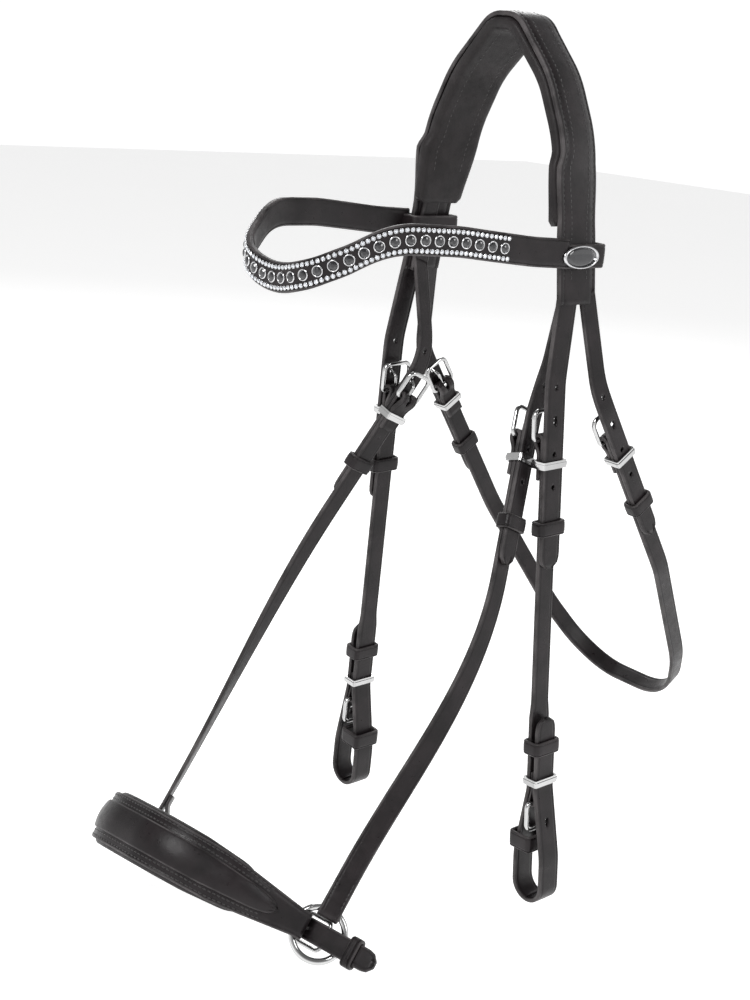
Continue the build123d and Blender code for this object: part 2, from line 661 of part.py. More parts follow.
# ---------------------------------------------------------------- write
def write(name, shape):
    """One STEP file for one piece."""
    export_step(shape, f"parts/{name}.step")


def write_pair(name, shape):
    """A piece and its twin on the off side."""
    write(f"{name}_near", shape)
    write(f"{name}_off", off_side(shape))


def write_buckle_set(name, plane, width):
    """A top buckle with its tongue, its metal keeper and its leather keeper, on both sides."""
    low = -LEATHER / 2
    folded = low - LEATHER - SEAM
    high = BILLET_X + LEATHER / 2
    write_pair(f"{name}_buckle", place(plane, buckle_frame(width)))
    write_pair(f"{name}_tongue", place(plane, buckle_tongue(BILLET_X)))
    write_pair(f"{name}_metal_keeper", place(plane, metal_band(width, folded, high, BAND_Z)))
    write_pair(f"{name}_leather_keeper", place(plane, leather_loop(width, low, high, LOOP_Z)))


def write_bit_end():
    """The buckle, chape and keepers that close the bit loops."""
    plane = bit_plane()
    low = -LEATHER / 2
    high = BIT_OUT + LEATHER / 2
    write_pair("bit_buckle", place(plane, buckle_frame(CHEEK_WIDTH)))
    write_pair("bit_tongue", place(plane, buckle_tongue(BIT_TONGUE_REACH)))
    metal = metal_band(CHEEK_WIDTH, low, high, CHEEK_BIT_Z + 14.5)
    write_pair("bit_metal_keeper", place(CHEEK, metal))
    loop = leather_loop(CHEEK_WIDTH, low, high, CHEEK_BIT_Z + 37)
    write_pair("bit_leather_keeper", place(CHEEK, loop))
    write_pair("bit_chape", bit_chape())
    write_pair("bit_runner", bit_runner())


def write_noseband():
    """The noseband: rings, straps, nosepiece and chin strap."""
    near_ring = ring()
    off_ring = mirror(near_ring, about=Plane.YZ)
    write("noseband_ring_near", place(RIM, near_ring))
    write("noseband_ring_off", place(RIM, off_ring))
    near_tab = place(RIM, ring_tab())
    off_tab = off_side(place(RIM, mirror(ring_tab(), about=Plane.YZ)))
    write("noseband_strap_near", noseband_strap(near_tab))
    write("noseband_strap_off", off_side(noseband_strap(off_tab)))
    write("nosepiece", nosepiece())
    write("nosepiece_panel", nosepiece_panel())
    write("nosepiece_padding", nosepiece_padding())
    write("nosepiece_rivets", nosepiece_rivets())
    write("chin_strap", chin_strap())
    write("chin_chape", chin_chape())
    write("chin_buckle", place(RIM, place(CHIN, buckle_frame(SLIM_WIDTH))))
    write("chin_tongue", place(RIM, place(CHIN, buckle_tongue(BILLET_X))))
    loop = band(SLIM_WIDTH, BILLET_X - LEATHER / 2, BILLET_X + LEATHER / 2, THIN, 7.0, -22.5)
    write("chin_leather_keeper", place(RIM, place(CHIN, loop)))


def main():
    """Write every piece of the bridle."""
    os.makedirs("parts", exist_ok=True)
    write("headpiece", headpiece())
    write("noseband_headstrap", noseband_headstrap())
    write("head_padding", head_padding())
    write("browband", browband())
    write("browband_stones", browband_stones())
    write("browband_chains", browband_chains())
    write("loop_badge", loop_badge())
    write_pair("cheek_strap", cheek_strap())
    write("throatlatch", throatlatch())
    write_buckle_set("cheek", CHEEK, CHEEK_WIDTH)
    write_buckle_set("noseband", NOSE, SLIM_WIDTH)
    write_buckle_set("throat", THROAT, SLIM_WIDTH)
    write_bit_end()
    write_noseband()


main()
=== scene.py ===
"""The looks of the snaffle bridle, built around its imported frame.

Leather pieces are lofted along the runs of the CAD straps: each buckle set, ring and rim has a
local frame that is worked out from the frame's joints. Lengths are in millimetres until a mesh
is made. Local frames are upright: +X away from the head, +Y across the strap, +Z up the strap.
"""
import json
import math

import bpy
import numpy as np
from mathutils import Matrix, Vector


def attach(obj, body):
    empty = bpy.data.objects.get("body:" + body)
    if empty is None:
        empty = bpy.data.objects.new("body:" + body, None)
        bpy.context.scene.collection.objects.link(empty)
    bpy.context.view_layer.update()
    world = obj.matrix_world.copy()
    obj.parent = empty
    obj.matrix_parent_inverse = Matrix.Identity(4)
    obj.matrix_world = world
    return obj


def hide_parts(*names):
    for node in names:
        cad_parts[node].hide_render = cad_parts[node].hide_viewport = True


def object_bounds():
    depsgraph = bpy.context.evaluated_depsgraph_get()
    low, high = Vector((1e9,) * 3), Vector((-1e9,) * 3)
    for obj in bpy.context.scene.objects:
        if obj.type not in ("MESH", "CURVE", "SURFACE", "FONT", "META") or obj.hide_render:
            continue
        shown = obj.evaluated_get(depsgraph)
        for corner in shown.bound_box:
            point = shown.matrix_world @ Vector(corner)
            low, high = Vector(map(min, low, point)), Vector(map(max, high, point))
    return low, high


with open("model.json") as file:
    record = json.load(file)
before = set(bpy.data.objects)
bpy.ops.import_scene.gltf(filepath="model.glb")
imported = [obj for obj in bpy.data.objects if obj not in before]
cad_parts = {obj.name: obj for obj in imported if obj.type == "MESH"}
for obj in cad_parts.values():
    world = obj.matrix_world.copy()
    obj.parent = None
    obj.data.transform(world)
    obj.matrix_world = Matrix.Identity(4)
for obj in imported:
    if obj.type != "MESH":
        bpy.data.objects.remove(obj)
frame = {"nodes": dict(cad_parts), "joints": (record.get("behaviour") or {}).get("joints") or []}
cad_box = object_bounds()
JOINTS = {joint["name"]: joint for joint in frame["joints"]}
ROOT = "bridle"
MM = 0.001

# ---- leather and metal stock, as in the CAD model ----
LEATHER = 2.6
THIN = 2.0
SEAM = 0.3
RUN = 0.4
CHEEK_HALF = 8.0
SLIM_HALF = 6.5
WIRE = 1.4
BAR_X = -(WIRE + SEAM + LEATHER / 2)
FOLD_RADIUS = WIRE + SEAM + LEATHER / 2
BILLET_X = LEATHER + SEAM
TIP_LENGTH = 78.0
TONGUE_HOLE_Z = 12.2
HOLE_PITCH = 20.0
HOLE_RADIUS = 1.55
LOOP_Z = -53.0                        # leather keepers below the top buckles
RING_RADIUS = 15.2
RING_WIRE = 2.0

# ---- headpiece and browband ----
BROW_Z = -122.0
HEAD_END_Z = -150.0
ARCH_SIDE = [(71.4, HEAD_END_Z), (57, -56), (40, -22)]
ARCH_TOP = (0, 20.1)
ARCH_RADII = [90, 70, 21, 70, 90]
CROWN = 3.0
CUSHION = 4.4
EAR_CUT = 4.0
LEAN = 0.2                            # how much the crown's front edge stands further out
BROW_HALF = [(70.6, -14), (68.4, -70), (58, -128), (34, -166)]
BROW_RADII = [120, 90, 34, 34, 90, 120]
BROW_SIDE = [(20, BROW_Z), (-40, BROW_Z + 3), (-92, BROW_Z + 8.5), (-132, BROW_Z + 9.5), (-175, BROW_Z - 20)]
BROW_SIDE_RADII = [200, 120, 40]
BROW_FRONT_HALF = [(60, BROW_Z + 7), (30, BROW_Z - 12.5)]
BROW_FRONT_RADII = [40, 60, 40]
BROW_DIP_Z = BROW_Z - 21.5
BROW_TURN_Y = -152.0
BROW_THICKNESS = 4.0
LOOP_X = 64.5
LOOP_INNER = (11.0, 33.0)
LOOP_WALL = 2.4
LOOP_TALL = 14.0
STONE_PITCH = 8.6
STONE_COUNT = 35
CRYSTAL_PITCH = 3.1
CRYSTAL_OFFSET = 5.6

# ---- bit end, in the cheek's frame ----
BIT_OUT = 5.8
BIT_INNER = -9.5
BIT_OUTER = 13.0
BIT_BAR_X = 2.75
BIT_DROP = 66.7
SKIVED = 1.3

# ---- noseband ----
NOSE_CURVE = [(66, -50), (30, -88)]
NOSE_RADII = [60, 46]
CHIN_FOLD = RING_WIRE + 0.8
CHIN_CORNER_X = 20.0
CHIN_WIRE_Z = -12.0
CHIN_TIP = 26.0


# ---------------------------------------------------------------- materials
class Nodes:
    """A material's node tree, with short calls for the nodes used here."""

    def __init__(self, name):
        self.material = bpy.data.materials.new(name)
        self.material.use_nodes = True
        self.tree = self.material.node_tree
        self.shader = self.tree.nodes["Principled BSDF"]
        self.where = self.tree.nodes.new("ShaderNodeTexCoord").outputs["Object"]

    def noise(self, scale, detail=3.0, rough=0.5, stretch=None):
        node = self.tree.nodes.new("ShaderNodeTexNoise")
        node.inputs["Scale"].default_value = scale
        node.inputs["Detail"].default_value = detail
        node.inputs["Roughness"].default_value = rough
        self.tree.links.new(self.stretched(stretch), node.inputs["Vector"])
        return node.outputs["Fac"]

    def stretched(self, stretch):
        if stretch is None:
            return self.where
        node = self.tree.nodes.new("ShaderNodeMapping")
        node.inputs["Scale"].default_value = stretch
        self.tree.links.new(self.where, node.inputs["Vector"])
        return node.outputs["Vector"]

    def cells(self, scale):
        node = self.tree.nodes.new("ShaderNodeTexVoronoi")
        node.feature = "DISTANCE_TO_EDGE"
        node.inputs["Scale"].default_value = scale
        self.tree.links.new(self.where, node.inputs["Vector"])
        return node.outputs["Distance"]

    def remap(self, value, low, high, to_low, to_high):
        node = self.tree.nodes.new("ShaderNodeMapRange")
        self.tree.links.new(value, node.inputs["Value"])
        for key, number in (("From Min", low), ("From Max", high), ("To Min", to_low), ("To Max", to_high)):
            node.inputs[key].default_value = number
        return node.outputs["Result"]

    def mix(self, factor, first, second):
        node = self.tree.nodes.new("ShaderNodeMix")
        node.data_type = "RGBA"
        self.tree.links.new(factor, node.inputs["Factor"])
        node.inputs["A"].default_value = (*first, 1)
        node.inputs["B"].default_value = (*second, 1)
        return node.outputs["Result"]

    def add(self, first, second):
        node = self.tree.nodes.new("ShaderNodeMath")
        node.operation = "ADD"
        self.tree.links.new(first, node.inputs[0])
        self.tree.links.new(second, node.inputs[1])
        return node.outputs["Value"]

    def bump(self, height, strength, distance):
        node = self.tree.nodes.new("ShaderNodeBump")
        node.inputs["Strength"].default_value = strength
        node.inputs["Distance"].default_value = distance
        self.tree.links.new(height, node.inputs["Height"])
        self.tree.links.new(node.outputs["Normal"], self.shader.inputs["Normal"])

    def drive(self, socket, value):
        self.tree.links.new(value, self.shader.inputs[socket])

    def fixed(self, **values):
        for socket, value in values.items():
            self.shader.inputs[socket.replace("_", " ")].default_value = value
        return self.material


def leather(name, dark, light, rough_low, rough_high, grain):
    """Finished bridle leather: patchy colour, pores and fine creases."""
    n = Nodes(name)
    patches = n.remap(n.noise(70, 5), 0.35, 0.7, 0, 1)
    n.drive("Base Color", n.mix(patches, dark, light))
    n.drive("Roughness", n.remap(n.noise(260, 4), 0.3, 0.7, rough_low, rough_high))
    pores = n.remap(n.cells(900), 0.0, 0.12, 0, 1)
    creases = n.noise(420, 6, 0.65)
    n.bump(n.add(pores, creases), grain, 0.00008)
    return n.fixed(Specular_IOR_Level=0.26)


def metal(name, tone, rough_low, rough_high):
    """Polished metal with faint rubbing marks."""
    n = Nodes(name)
    n.drive("Roughness", n.remap(n.noise(300, 5), 0.3, 0.7, rough_low, rough_high))
    n.drive("Base Color", n.mix(n.noise(120, 3), tone, tuple(c * 0.82 for c in tone)))
    n.bump(n.noise(900, 3, 0.6, (1, 1, 8)), 0.12, 0.00003)
    return n.fixed(Metallic=1.0)


def thread():
    """Waxed black thread, twisted."""
    n = Nodes("thread")
    n.drive("Base Color", n.mix(n.noise(2500, 2), (0.007, 0.006, 0.006), (0.03, 0.027, 0.027)))
    n.bump(n.noise(3500, 2, 0.5), 0.5, 0.0001)
    return n.fixed(Roughness=0.5, Sheen_Weight=0.25)


def stone():
    """Black glass stones."""
    n = Nodes("black_stone")
    n.drive("Base Color", n.mix(n.noise(500, 2), (0.004, 0.004, 0.005), (0.02, 0.02, 0.024)))
    n.drive("Roughness", n.remap(n.noise(900, 2), 0.3, 0.7, 0.02, 0.07))
    return n.fixed(Specular_IOR_Level=0.75, Coat_Weight=0.5, Coat_Roughness=0.02)


def crystal():
    """Clear foil-backed crystals."""
    n = Nodes("crystal")
    n.drive("Base Color", n.mix(n.noise(700, 2), (0.95, 0.97, 1.0), (0.62, 0.66, 0.72)))
    n.drive("Roughness", n.remap(n.noise(900, 2), 0.3, 0.7, 0.02, 0.08))
    return n.fixed(Metallic=0.65, Coat_Weight=1.0, Coat_Roughness=0.01, IOR=1.6)


BLACK = leather("black_leather", (0.0075, 0.0058, 0.0064), (0.0165, 0.0128, 0.014), 0.27, 0.43, 0.3)
# Edge leather for the rounded edges and end caps: its lighter colour is a painted highlight along the edges; its higher
# roughness is the edges' own matte finish.
EDGE_HIGHLIGHT = leather("leather_edge_painted_highlight", (0.02, 0.0175, 0.018), (0.075, 0.068, 0.069), 0.34, 0.52, 0.5)
SOFT = leather("padding_leather", (0.0095, 0.0078, 0.0082), (0.0195, 0.016, 0.0168), 0.38, 0.56, 0.6)
HOLE = leather("punched_leather", (0.004, 0.004, 0.004), (0.012, 0.011, 0.01), 0.7, 0.85, 0.3)
STEEL = metal("polished_steel", (0.6, 0.6, 0.6), 0.06, 0.16)
SILVER = metal("cup_silver", (0.66, 0.66, 0.67), 0.08, 0.2)
THREAD = thread()
STONE = stone()
CRYSTAL = crystal()


# ---------------------------------------------------------------- frames and paths
def unit(v):
    return v / np.linalg.norm(v)


class Local:
    """A frame in space: a point in it, (x, y, z), goes to the row's frame."""

    def __init__(self, origin, x, y, z):
        self.origin = np.array(origin, float)
        self.axes = np.array([x, y, z], float)

    def out(self, points):
        return self.origin + np.asarray(points, float) @ self.axes

    def turn(self, direction):
        return np.asarray(direction, float) @ self.axes

    def back(self, point):
        return (np.asarray(point, float) - self.origin) @ self.axes.T


def buckle_local(tongue, keeper):
    """The upright frame of a buckle, from its tongue's hinge and its keeper's slide."""
    hinge = JOINTS[tongue]
    up = unit(np.array(JOINTS[keeper]["axis"], float))
    across = -unit(np.array(hinge["axis"], float))
    outward = np.cross(across, up)
    bar = np.array(hinge["pos_m"], float) / MM
    return Local(bar - outward * BAR_X, outward, across, up)


CHEEK = buckle_local("cheek_tongue_hinge_near", "cheek_leather_keeper_slide_near")
NOSE = buckle_local("noseband_tongue_hinge_near", "noseband_leather_keeper_slide_near")
THROAT = buckle_local("throat_tongue_hinge_near", "throat_leather_keeper_slide_near")
CHIN = buckle_local("chin_tongue_hinge", "chin_leather_keeper_slide")
BIT_Z = CHEEK.back(np.array(JOINTS["bit_tongue_hinge_near"]["pos_m"]) / MM)[2]

NEAR_RING = np.array(JOINTS["ring_spin_near"]["pos_m"]) / MM
OFF_RING = np.array(JOINTS["ring_spin_off"]["pos_m"]) / MM
RING_X = np.linalg.norm(NEAR_RING - OFF_RING) / 2
RIM_ACROSS = unit(NEAR_RING - OFF_RING)
RIM_UP = -unit(np.cross(RIM_ACROSS, JOINTS["ring_spin_near"]["axis"]))
RIM = Local((NEAR_RING + OFF_RING) / 2, RIM_ACROSS, np.cross(RIM_UP, RIM_ACROSS), RIM_UP)
RING_FACE = (RIM.axes @ np.array(JOINTS["ring_spin_near"]["axis"]))[:2]
RING_IN = np.array([RING_FACE[1], -RING_FACE[0]])


def rounded(points, radii, step=3.0, turn_step=9.0):
    """Points along straight runs joined by tangent arcs."""
    spots = [np.array(p, float) for p in points]
    runs = [unit(b - a) for a, b in zip(spots, spots[1:])]
    path = [spots[0]]
    for i, radius in enumerate(radii):
        cross = runs[i][0] * runs[i + 1][1] - runs[i][1] * runs[i + 1][0]
        side = math.copysign(1, cross)
        angle = math.acos(max(-1.0, min(1.0, float(runs[i] @ runs[i + 1]))))
        reach = radius * math.tan(angle / 2)
        start = spots[i + 1] - runs[i] * reach
        center = start + np.array([-runs[i][1], runs[i][0]]) * side * radius
        straight(path, start, step)
        count = max(2, math.ceil(math.degrees(angle) / turn_step), math.ceil(angle * radius / step))
        spoke = start - center
        for k in range(1, count + 1):
            a = side * angle * k / count
            turned = [spoke[0] * math.cos(a) - spoke[1] * math.sin(a),
                      spoke[0] * math.sin(a) + spoke[1] * math.cos(a)]
            path.append(center + np.array(turned))
    straight(path, spots[-1], step)
    return np.array(path)


def straight(path, end, step):
    """Carries a path on in a straight line, in even steps."""
    start = path[-1]
    count = max(1, math.ceil(np.linalg.norm(end - start) / step))
    for k in range(1, count + 1):
        path.append(start + (end - start) * k / count)


class Track:
    """A strap's middle line: points, the way across, the way it faces, and the distance run."""

    def __init__(self, points, across, closed=False):
        self.p = np.array(points, float)
        keep = np.r_[True, np.linalg.norm(np.diff(self.p, axis=0), axis=1) > 1e-3]
        self.p = self.p[keep]
        a = np.broadcast_to(np.asarray(across, float), (len(keep), 3))[keep]
        if closed:
            self.t = np.roll(self.p, -1, 0) - np.roll(self.p, 1, 0)
        else:
            self.t = np.gradient(self.p, axis=0)
        self.t /= np.linalg.norm(self.t, axis=1)[:, None]
        self.a = a / np.linalg.norm(a, axis=1)[:, None]
        self.n = np.cross(self.t, self.a)
        self.n /= np.linalg.norm(self.n, axis=1)[:, None]
        self.s = np.r_[0, np.cumsum(np.linalg.norm(np.diff(self.p, axis=0), axis=1))]
        self.closed = closed

    def at(self, s, across=0.0, height=0.0):
        """The point at a distance along, moved across and out."""
        p, a, n = (np.array([np.interp(s, self.s, v[:, k]) for k in range(3)])
                   for v in (self.p, self.a, self.n))
        return p + unit(a) * across + unit(n) * height

    def ways(self, s):
        """The tangent, the way across and the facing at a distance along."""
        return [unit(np.array([np.interp(s, self.s, v[:, k]) for k in range(3)]))
                for v in (self.t, self.a, self.n)]


def local_track(local, path, lane=None):
    """A track from an edge view in a frame's XZ, with its middle line in YZ."""
    side = np.zeros(len(path))
    if lane is not None:
        order = np.argsort(lane[:, 1])
        side = np.interp(path[:, 1], lane[order, 1], lane[order, 0])
    points = np.c_[path[:, 0], side, path[:, 1]]
    return Track(local.out(points), local.turn((0, 1, 0)))


def joined(*tracks):
    """Several tracks end to end, as one."""
    return Track(np.concatenate([t.p for t in tracks]), np.concatenate([t.a for t in tracks]))


def bridge(first, second, pull=0.35, steps=40):
    """A smooth run from the end of one track to the start of another, turning as it goes."""
    p0, p1 = first.p[-1], second.p[0]
    reach = np.linalg.norm(p1 - p0)
    t0, t1 = first.t[-1] * reach * pull, second.t[0] * reach * pull
    points, ways = [], []
    for k in range(1, steps):
        u = k / steps
        b = [(1 - u) ** 3, 3 * u * (1 - u) ** 2, 3 * u * u * (1 - u), u ** 3]
        points.append(b[0] * p0 + b[1] * (p0 + t0) + b[2] * (p1 - t1) + b[3] * p1)
        ease = u * u * (3 - 2 * u)
        ways.append(first.a[-1] * (1 - ease) + second.a[0] * ease)
    return Track(points, np.array(ways))


# ---------------------------------------------------------------- meshes
def mesh_object(name, verts, faces, materials, indices=None, smooth=True):
    """A mesh piece, from points in millimetres."""
    mesh = bpy.data.meshes.new(name)
    mesh.from_pydata((np.asarray(verts) * MM).tolist(), [], faces)
    for m in materials:
        mesh.materials.append(m)
    if indices is not None:
        mesh.polygons.foreach_set("material_index", indices)
    mesh.polygons.foreach_set("use_smooth", [smooth] * len(mesh.polygons))
    mesh.validate()
    mesh.update()
    piece = bpy.data.objects.new(name, mesh)
    bpy.context.scene.collection.objects.link(piece)
    return piece


def section(half, thick, crown=0.0, groove=0.22, inset=2.0, edge=0.95, back=0.0):
    """A strap's cross-section as (across, height, is edge): rounded edges, a crease inside each."""
    t = thick / 2
    r = min(edge, t * 0.92)
    inset = min(inset, half * 0.45)
    arc = [math.radians(a) for a in (0, 30, 60, 90)]
    rows = []
    for face, bulge in ((1, crown), (-1, back)):
        flat = [-half + r + 0.02, -half + inset - 0.45, -half + inset, -half + inset + 0.45]
        flat += [-half * 0.55, -half * 0.25, 0.0]
        flat += [-v for v in flat[-2::-1]]
        for v in flat:
            dip = groove if abs(abs(v) - (half - inset)) < 0.01 else 0.0
            h = t + bulge * max(0.0, 1 - (v / half) ** 2) - dip
            rows.append((v * face, h * face, 0))
        for a in arc[::-1]:
            if a < math.radians(89):
                rows.append(((half - r + r * math.cos(a)) * face, (t - r + r * math.sin(a)) * face, 1))
        for a in arc[1:-1]:
            rows.append(((half - r + r * math.cos(a)) * face, -(t - r + r * math.sin(a)) * face, 1))
    return np.array(rows)


def loft(name, track, shape, materials=None, flip=False):
    """A solid along a track. shape(k, s) gives the section at sample k."""
    rings = []
    for k in range(len(track.p)):
        rows = shape(k, track.s[k])
        rings.append(track.p[k] + rows[:, :1] * track.a[k] + rows[:, 1:2] * track.n[k])
    count, width = len(rings), len(rings[0])
    verts = np.concatenate(rings)
    edge = shape(0, track.s[0])[:, 2]
    faces, index = [], []
    for k in range(count if track.closed else count - 1):
        low, high = k * width, (k + 1) % count * width
        for j in range(width):
            i = (j + 1) % width
            faces.append((low + j, low + i, high + i, high + j))
            # Faces on a section's rounded edges, and the end caps below, take the second material, whose lighter colour
            # is a painted edge highlight.
            index.append(1 if edge[j] or edge[i] else 0)
    if not track.closed:
        faces.append(tuple(range(width))[::-1])
        faces.append(tuple((count - 1) * width + j for j in range(width)))
        index += [1, 1]
    if flip:
        verts = verts * (-1, 1, 1)
        faces = [f[::-1] for f in faces]
    return mesh_object(name, verts, faces, materials or [BLACK, EDGE_HIGHLIGHT], index)


def tips(track, half, start=None, end=None, length=9.0, blunt=0.36):
    """Half widths along a strap, drawn in to a blunt point at either end."""
    widths = np.full(len(track.p), float(half))
    total = track.s[-1]
    for on, distance in ((start, track.s), (end, total - track.s)):
        if on:
            u = np.clip(distance / length, 0, 1)
            widths *= blunt + (1 - blunt) * np.sqrt(np.clip(1 - (1 - u) ** 2, 0, 1))
    return widths


def strap(name, track, half, thick, flip=False, **details):
    """A strap of one thickness; half is a number or one for each sample."""
    widths = np.broadcast_to(half, len(track.p))
    return loft(name, track, lambda k, s: section(widths[k], thick, **details), flip=flip)


def join(name, pieces):
    """Several pieces made one."""
    for other in bpy.context.selected_objects:
        other.select_set(False)
    for piece in pieces:
        piece.select_set(True)
    bpy.context.view_layer.objects.active = pieces[0]
    bpy.ops.object.join()
    pieces[0].name = name
    return pieces[0]


def punch(piece, cutters):
    """Cuts holes and slots through a piece."""
    cutter = join("cutter", cutters)
    bpy.context.view_layer.objects.active = piece
    change = piece.modifiers.new("holes", "BOOLEAN")
    change.object = cutter
    change.operation = "DIFFERENCE"
    change.solver = "EXACT"
    bpy.ops.object.modifier_apply(modifier=change.name)
    bpy.data.objects.remove(cutter)
    return piece


def peg(local, x, z, radius, y=0.0, depth=7.0, flip=False, oblong=1.0):
    """A cutter across a strap at (x, z), round or oblong along the strap."""
    sides = 20
    points, faces = [], []
    for end in (-depth, depth):
        for k in range(sides):
            a = 2 * math.pi * k / sides
            points.append((x + end, y + radius * math.cos(a), z + radius * oblong * math.sin(a)))
    for k in range(sides):
        faces.append((k, (k + 1) % sides, sides + (k + 1) % sides, sides + k))
    faces += [tuple(range(sides))[::-1], tuple(range(sides, 2 * sides))]
    verts = local.out(points)
    if flip:
        verts = verts * (-1, 1, 1)
        faces = [f[::-1] for f in faces]
    return mesh_object("peg", verts, faces, [HOLE])


class Scatter:
    """Copies of a small template, gathered into one mesh."""

    def __init__(self, verts, faces):
        self.verts, self.faces = np.array(verts, float), faces
        self.points, self.polys = [], []

    def put(self, origin, x, y, z, size=1.0):
        base = sum(len(p) for p in self.points)
        self.points.append(np.array(origin) + self.verts @ np.array([x, y, z]) * size)
        self.polys += [tuple(base + i for i in f) for f in self.faces]

    def build(self, name, material, smooth=False):
        return mesh_object(name, np.concatenate(self.points), self.polys, [material], smooth=smooth)


def rings_template(profile, sides, close=True):
    """A turned template about +Z from (radius, height) rows."""
    verts, faces = [], []
    for radius, height in profile:
        for k in range(sides):
            a = 2 * math.pi * k / sides
            verts.append((radius * math.cos(a), radius * math.sin(a), height))
    for row in range(len(profile) - 1):
        for k in range(sides):
            i, j = row * sides + k, row * sides + (k + 1) % sides
            faces.append((i, j, j + sides, i + sides))
    if close:
        faces.append(tuple(range(sides))[::-1])
        faces.append(tuple((len(profile) - 1) * sides + k for k in range(sides)))
    return verts, faces


def stitch_template(length=2.3, radius=0.32):
    """One stitch: a short twisted thread that dips into the leather at both ends."""
    verts, faces = [], []
    rows, sides = 6, 6
    for i in range(rows):
        u = i / (rows - 1) * 2 - 1
        thin = radius * (0.35 + 0.65 * math.sqrt(max(0.0, 1 - u ** 4)))
        for k in range(sides):
            a = 2 * math.pi * k / sides
            verts.append((u * length / 2, thin * math.cos(a), thin * math.sin(a) - 0.16 * u * u))
    for i in range(rows - 1):
        for k in range(sides):
            j = (k + 1) % sides
            faces.append((i * sides + k, i * sides + j, (i + 1) * sides + j, (i + 1) * sides + k))
    faces += [tuple(range(sides))[::-1], tuple((rows - 1) * sides + k for k in range(sides))]
    return verts, faces


STITCHES = Scatter(*stitch_template())


def sew(track, offset, height, start=0.0, end=None, pitch=3.0, flip=False, both=True):
    """A row of stitches along a track, at an offset from its middle, on one face."""
    end = track.s[-1] if end is None else end
    count = max(1, int((end - start) / pitch))
    for side in ((1, -1) if both else (1,)):
        for k in range(count):
            s = start + (k + 0.5) * (end - start) / count
            along, across, out = track.ways(s)
            shift = offset(s) if callable(offset) else offset
            spot = track.at(s, side * shift, height)
            out = out * math.copysign(1, height)
            if flip:
                spot, along, across, out = (v * (-1, 1, 1) for v in (spot, along, across, out))
            STITCHES.put(spot, along, np.cross(out, along), out)


def finish_piece(piece, body, slot, *nodes):
    """Puts a piece on its body, in place of its CAD nodes."""
    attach(piece, body)
    if nodes:
        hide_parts(*nodes)
    return piece


SIDES = (("near", False), ("off", True))


# ---------------------------------------------------------------- top folds and billets
def fold():
    """A strap end folded inwards round its heel bar."""
    under = BAR_X - FOLD_RADIUS
    lap = -(LEATHER + SEAM)
    points = [(lap, -24), (lap, -8), (under, -1.5), (under, FOLD_RADIUS), (0, FOLD_RADIUS)]
    return points, [8, 6, FOLD_RADIUS - 0.05, FOLD_RADIUS - 0.05]


def billet(name, local, joint, half, flip):
    """A billet: outside its buckle from the headpiece down to a blunt tip."""
    top = local.back(joint)
    path = rounded([(BILLET_X, -TIP_LENGTH), (BILLET_X, 26), (top[0], top[2])], [60])[::-1]
    lane = rounded([(0, -TIP_LENGTH), (0, 34), (top[1], top[2])], [60])
    track = local_track(local, path, lane)
    piece = strap(name, track, tips(track, half, end=True), LEATHER, flip=flip, crown=0.15)
    pegs = []
    for step in (-2, -1, 1):
        z = TONGUE_HOLE_Z + step * HOLE_PITCH
        pegs.append(peg(local, BILLET_X, z, HOLE_RADIUS, y=np.interp(z, lane[:, 1], lane[:, 0]), flip=flip))
    pegs.append(peg(local, BILLET_X, TONGUE_HOLE_Z, 1.75, flip=flip, oblong=1.8))
    return punch(piece, pegs)


# ---------------------------------------------------------------- headpiece
def arch_track(inset, shift=0.0, end=None):
    """A track over the poll, inset from the outer face; the sides lean out towards the front."""
    half = ARCH_SIDE if end is None else [end] + ARCH_SIDE[1:]
    path = rounded([(-x, z) for x, z in half] + [ARCH_TOP] + half[::-1], ARCH_RADII)
    base = Track(np.c_[path[:, 0], np.zeros(len(path)), path[:, 1]], (0, 1, 0))
    fade = np.clip((base.p[:, 2] - BROW_Z - 12) / 40, 0, 1)
    across = base.a - base.n * (LEAN * np.abs(base.n[:, 0]) * fade)[:, None]
    across /= np.linalg.norm(across, axis=1)[:, None]
    return Track(base.p - base.n * inset + across * shift, across)


def ear_cut(track):
    """How far the front edge is cut back behind the ears."""
    u = np.clip((track.p[:, 2] + 74) / 10, 0, 1)
    return EAR_CUT * u * u * (3 - 2 * u)


def cut_back(track):
    """A track moved back by half of what is cut from its front edge."""
    return Track(track.p + track.a * ear_cut(track)[:, None] / 2, track.a)


def head_half(track):
    """Half widths of the headpiece, drawn in towards the browband."""
    u = np.clip((track.p[:, 2] + 108) / 38, 0, 1)
    return 15.2 + 3.8 * u * u * (3 - 2 * u) - ear_cut(track) / 2


def headpiece():
    """Crown strap with a raised middle and two sewn lines, and its four billets."""
    track = cut_back(arch_track(CROWN / 2))
    half = head_half(track)
    pieces = [loft("crown", track, lambda k, s: section(half[k], CROWN, crown=0.9, inset=3.4, groove=0.35))]
    for inset in (3.4, 9.0):
        rise = CROWN / 2 + (0.05 if inset < 5 else 0.62)
        sew(track, lambda s: np.interp(s, track.s, half) - inset, rise, 14, track.s[-1] - 14, pitch=3.1)
    for _, flip in SIDES:
        pieces.append(billet("cheek_billet", CHEEK, (69.2, -7.2, HEAD_END_Z + 6), CHEEK_HALF, flip))
        pieces.append(billet("throat_billet", THROAT, (69.2, 8.7, HEAD_END_Z + 6), SLIM_HALF, flip))
    finish_piece(join("headpiece_leather", pieces), ROOT, "black_leather", "headpiece")


def noseband_headstrap():
    """The slim strap under the headpiece and its two billets."""
    track = arch_track(CROWN + SEAM + LEATHER / 2, shift=-4.0)
    pieces = [strap("headstrap", track, SLIM_HALF, LEATHER)]
    for _, flip in SIDES:
        pieces.append(billet("noseband_billet", NOSE, (65.8, -4, HEAD_END_Z + 6), SLIM_HALF, flip))
    finish_piece(join("headstrap_leather", pieces), ROOT, "black_leather", "noseband_headstrap")


